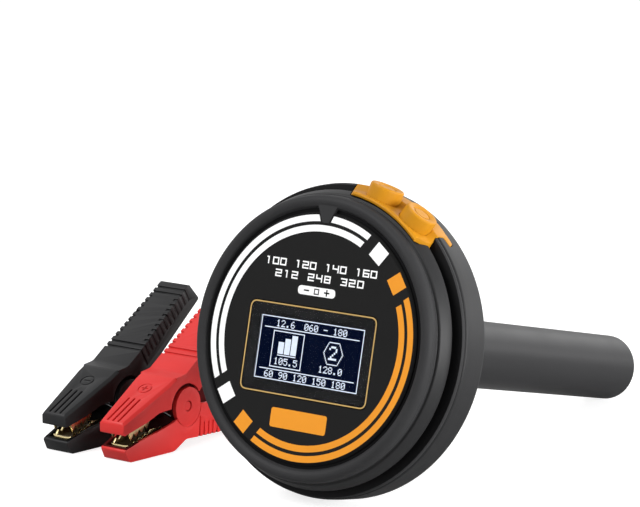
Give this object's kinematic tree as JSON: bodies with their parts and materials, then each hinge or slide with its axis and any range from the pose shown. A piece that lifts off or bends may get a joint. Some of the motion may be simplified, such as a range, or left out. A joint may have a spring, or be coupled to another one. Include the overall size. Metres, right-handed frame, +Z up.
{
  "type": "coolant tester",
  "caption": "Handheld coolant boiling point tester: round head with screen and side keys, long immersion tube at its back, and battery clamps.",
  "frame": {"origin": "centre of the bounding box on the floor that the tester and its clamps lie on", "axes": "+X to the right along the face, +Y from the face back along the immersion tube, +Z up"},
  "size_m": [0.1598, 0.1856, 0.0987],
  "materials": {
    "black_plastic": "fine satin",
    "face_print": "printed film",
    "window": "clear and smooth",
    "orange_plastic": "satin",
    "red_plastic": "soft gloss",
    "clamp_black": "satin",
    "brass": "bright",
    "steel": "plain",
    "rubber": "matt",
    "board": "solder resist",
    "grey_plastic": "plain"
  },
  "bodies": {
    "head": {"front_shell": "black_plastic", "face_panel": "face_print", "display_window": "window", "display_module": "grey_plastic", "display_gasket": "rubber", "main_board": "board", "button_board": "board", "tact_switch_left": "grey_plastic", "tact_switch_right": "grey_plastic", "button_panel": "orange_plastic", "rear_shell": "black_plastic", "shell_gasket": "rubber", "shell_screw_1": "steel", "shell_screw_2": "steel", "shell_screw_3": "steel", "shell_screw_4": "steel", "probe_tube": "black_plastic", "tube_seal": "rubber", "tube_nut": "steel", "probe_holder": "grey_plastic", "heater_rod": "steel", "temp_sensor": "steel", "probe_leads": "rubber", "terminal_block": "grey_plastic", "buzzer": "clamp_black", "heater_switch": "clamp_black", "cable_gland": "rubber"},
    "left_key": {"button_left": "orange_plastic"},
    "right_key": {"button_right": "orange_plastic"},
    "red_clamp": {"red_lower_shell": "red_plastic", "red_lower_jaw": "brass", "red_lower_rivet": "steel", "red_pivot_pin": "red_plastic", "red_spring": "steel"},
    "red_clamp_top": {"red_upper_shell": "red_plastic", "red_upper_jaw": "brass", "red_upper_rivet": "steel"},
    "black_clamp": {"black_lower_shell": "clamp_black", "black_lower_jaw": "brass", "black_lower_rivet": "steel", "black_pivot_pin": "clamp_black", "black_spring": "steel"},
    "black_clamp_top": {"black_upper_shell": "clamp_black", "black_upper_jaw": "brass", "black_upper_rivet": "steel"}
  },
  "joints": [
    {"name": "left_key_press", "type": "slide", "parent": "head", "child": "left_key", "axis": [-0.2857, -0.2242, -0.9317], "range_m": [0, 0.001], "stiffness_N_per_m": 900, "springref_m": -0.0006},
    {"name": "right_key_press", "type": "slide", "parent": "head", "child": "right_key", "axis": [-0.5563, -0.1944, -0.8079], "range_m": [0, 0.001], "stiffness_N_per_m": 900, "springref_m": -0.0006},
    {"name": "red_clamp_lift", "type": "slide", "parent": "head", "child": "red_clamp", "axis": [0, 0, 1], "range_m": [0, 0.15]},
    {"name": "red_clamp_open", "type": "hinge", "parent": "red_clamp", "child": "red_clamp_top", "pos_m": [-0.05007, -0.04933, 0.0136], "axis": [-1, 0, 0], "range_deg": [0, 30], "stiffness_Nm_per_rad": 0.35, "springref_deg": -28.65},
    {"name": "black_clamp_lift", "type": "slide", "parent": "head", "child": "black_clamp", "axis": [0, 0, 1], "range_m": [0, 0.15]},
    {"name": "black_clamp_open", "type": "hinge", "parent": "black_clamp", "child": "black_clamp_top", "pos_m": [-0.07227, -0.05213, 0.0136], "axis": [-1, 0, 0], "range_deg": [0, 30], "stiffness_Nm_per_rad": 0.35, "springref_deg": -28.65}
  ]
}
